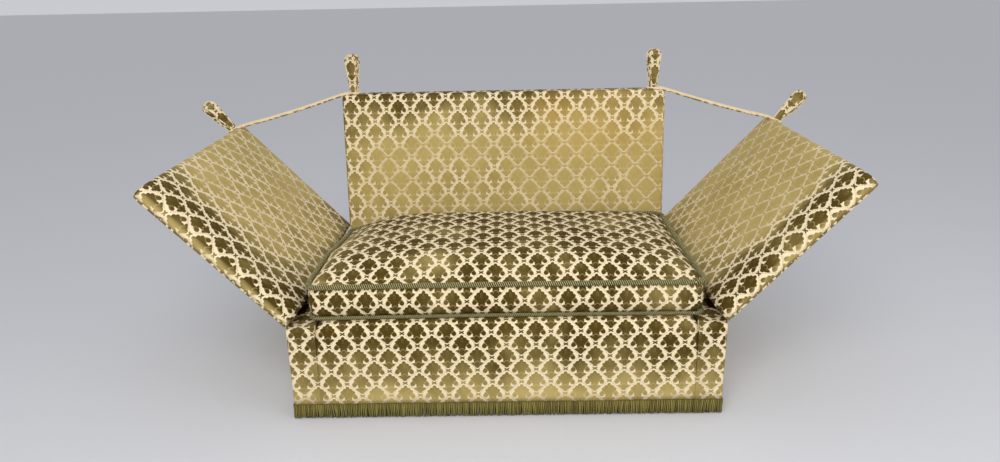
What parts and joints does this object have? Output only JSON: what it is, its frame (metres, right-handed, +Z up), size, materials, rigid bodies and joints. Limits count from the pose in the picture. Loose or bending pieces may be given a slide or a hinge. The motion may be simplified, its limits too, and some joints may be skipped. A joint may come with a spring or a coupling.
{
  "type": "knole sofa",
  "caption": "Knole sofa in gold and olive cut velvet with dropped arms, finials joined by ropes, one loose seat cushion and a fringed base.",
  "frame": {"origin": "on the floor, at the centre of the overall outline", "axes": "+Z up, -Y towards the front, +X towards the right arm as seen from the front"},
  "size_m": [2.5628, 0.984, 1.1469],
  "materials": {
    "velvet": "cut pile velvet",
    "trim": "twisted cord and fringe",
    "piping": "woven cloth over cord",
    "rope": "cloth-covered cord",
    "timber": "sawn",
    "stuffing": "fibre and wadding",
    "webbing": "woven jute",
    "lining": "plain cotton",
    "brass": "satin",
    "glide": "moulded"
  },
  "bodies": {
    "sofa": {"corner_posts": "timber", "front_rail": "timber", "rear_rail": "timber", "side_rails": "timber", "ledge_boards": "timber", "tacking_rails": "timber", "seat_bearers": "timber", "corner_braces": "timber", "back_stiles": "timber", "back_rails": "timber", "back_finial_cores": "timber", "floor_glides": "glide", "webbing_crosswise": "webbing", "webbing_lengthwise": "webbing", "back_webbing": "webbing", "platform_pad": "stuffing", "front_border_pad": "stuffing", "back_pad": "stuffing", "dust_cover": "lining", "platform_cloth": "velvet", "front_border_cover": "velvet", "inside_back_cover": "velvet", "outside_back_cover": "velvet", "back_finial_covers": "velvet", "left_side_cover": "velvet", "right_side_cover": "velvet", "base_piping": "piping", "back_piping": "piping", "back_finial_piping": "piping", "front_fringe": "trim", "rear_fringe": "trim", "left_fringe": "trim", "right_fringe": "trim", "left_rope": "rope", "right_rope": "rope", "hinge_fixed_leaves": "brass", "hinge_pins": "brass"},
    "left_arm": {"left_arm_frame": "timber", "left_arm_pad": "stuffing", "left_arm_inside_cover": "velvet", "left_arm_outside_cover": "velvet", "left_arm_piping": "piping", "left_arm_finial_core": "timber", "left_arm_finial_cover": "velvet", "left_arm_finial_piping": "piping", "left_hinge_leaves": "brass"},
    "right_arm": {"right_arm_frame": "timber", "right_arm_pad": "stuffing", "right_arm_inside_cover": "velvet", "right_arm_outside_cover": "velvet", "right_arm_piping": "piping", "right_arm_finial_core": "timber", "right_arm_finial_cover": "velvet", "right_arm_finial_piping": "piping", "right_hinge_leaves": "brass"},
    "seat_cushion": {"seat_cushion_filling": "stuffing", "seat_cushion_cover": "velvet", "cushion_top_cord": "trim", "cushion_bottom_cord": "trim"}
  },
  "joints": [
    {"name": "left_arm_hinge", "type": "hinge", "parent": "sofa", "child": "left_arm", "pos_m": [-0.745, 0, 0.34615], "axis": [0, 1, 0], "range_deg": [0, 43], "deforming": ["left_rope"]},
    {"name": "right_arm_hinge", "type": "hinge", "parent": "sofa", "child": "right_arm", "pos_m": [0.745, 0, 0.34615], "axis": [0, -1, 0], "range_deg": [0, 43], "deforming": ["right_rope"]},
    {"name": "seat_cushion_lift", "type": "slide", "parent": "sofa", "child": "seat_cushion", "axis": [0, 0, 1], "range_m": [0, 0.25]}
  ]
}
